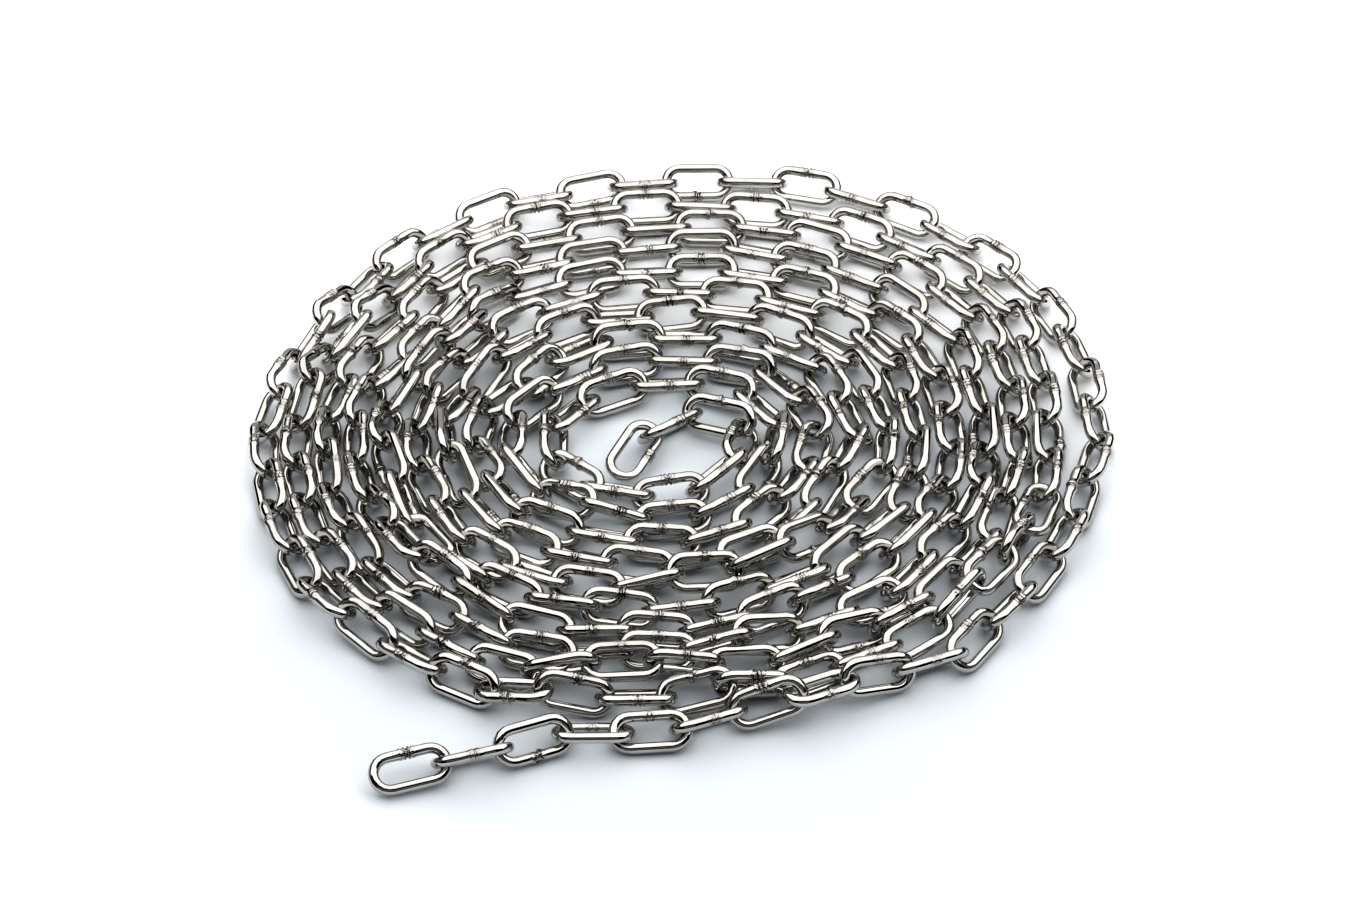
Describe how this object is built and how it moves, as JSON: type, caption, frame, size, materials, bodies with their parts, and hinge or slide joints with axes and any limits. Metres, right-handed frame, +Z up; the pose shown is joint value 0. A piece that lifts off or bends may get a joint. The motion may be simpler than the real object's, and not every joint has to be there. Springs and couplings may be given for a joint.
{
  "type": "heap of steel chain",
  "caption": "Bright welded steel link chain coiled flat on the floor, with its inner end in the middle and its outer end lying free at the front.",
  "frame": {"origin": "the middle of the heap's bounding box seen from above, on the floor that it lies on", "axes": "+Z up; +X to the right and +Y away from the viewer as the picture shows the heap, with the outer end at the front left"},
  "size_m": [0.4142, 0.4428, 0.0263],
  "materials": {
    "chain_steel": "bright polished"
  },
  "bodies": {
    "root": {"end_link_inner": "chain_steel", "inner_tail_link_2": "chain_steel", "inner_tail_link_3": "chain_steel", "chain_run_01": "chain_steel", "chain_run_02": "chain_steel", "chain_run_03": "chain_steel", "chain_run_04": "chain_steel", "chain_run_05": "chain_steel", "chain_run_06": "chain_steel", "chain_run_07": "chain_steel", "chain_run_08": "chain_steel", "chain_run_09": "chain_steel", "chain_run_10": "chain_steel", "chain_run_11": "chain_steel", "chain_run_12": "chain_steel", "chain_run_13": "chain_steel", "chain_run_14": "chain_steel", "chain_run_15": "chain_steel", "chain_run_16": "chain_steel", "chain_run_17": "chain_steel", "chain_run_18": "chain_steel", "chain_run_19": "chain_steel", "chain_run_20": "chain_steel", "chain_run_21": "chain_steel", "chain_run_22": "chain_steel", "chain_run_23": "chain_steel", "chain_run_24": "chain_steel", "chain_run_25": "chain_steel", "chain_run_26": "chain_steel", "chain_run_27": "chain_steel", "chain_run_28": "chain_steel", "chain_run_29": "chain_steel", "chain_run_30": "chain_steel", "chain_run_31": "chain_steel", "chain_run_32": "chain_steel", "chain_run_33": "chain_steel", "chain_run_34": "chain_steel", "chain_run_35": "chain_steel", "chain_run_36": "chain_steel", "chain_run_37": "chain_steel", "chain_run_38": "chain_steel", "chain_run_39": "chain_steel", "chain_run_40": "chain_steel", "chain_run_41": "chain_steel", "chain_run_42": "chain_steel", "chain_run_43": "chain_steel", "chain_run_44": "chain_steel", "chain_run_45": "chain_steel", "chain_run_46": "chain_steel", "open_link_1": "chain_steel", "open_link_2": "chain_steel", "open_link_3": "chain_steel", "open_link_4": "chain_steel", "outer_tail_link_6": "chain_steel", "outer_tail_link_5": "chain_steel", "outer_tail_link_4": "chain_steel", "outer_tail_link_3": "chain_steel", "outer_tail_link_2": "chain_steel", "end_link_outer": "chain_steel"}
  },
  "joints": []
}
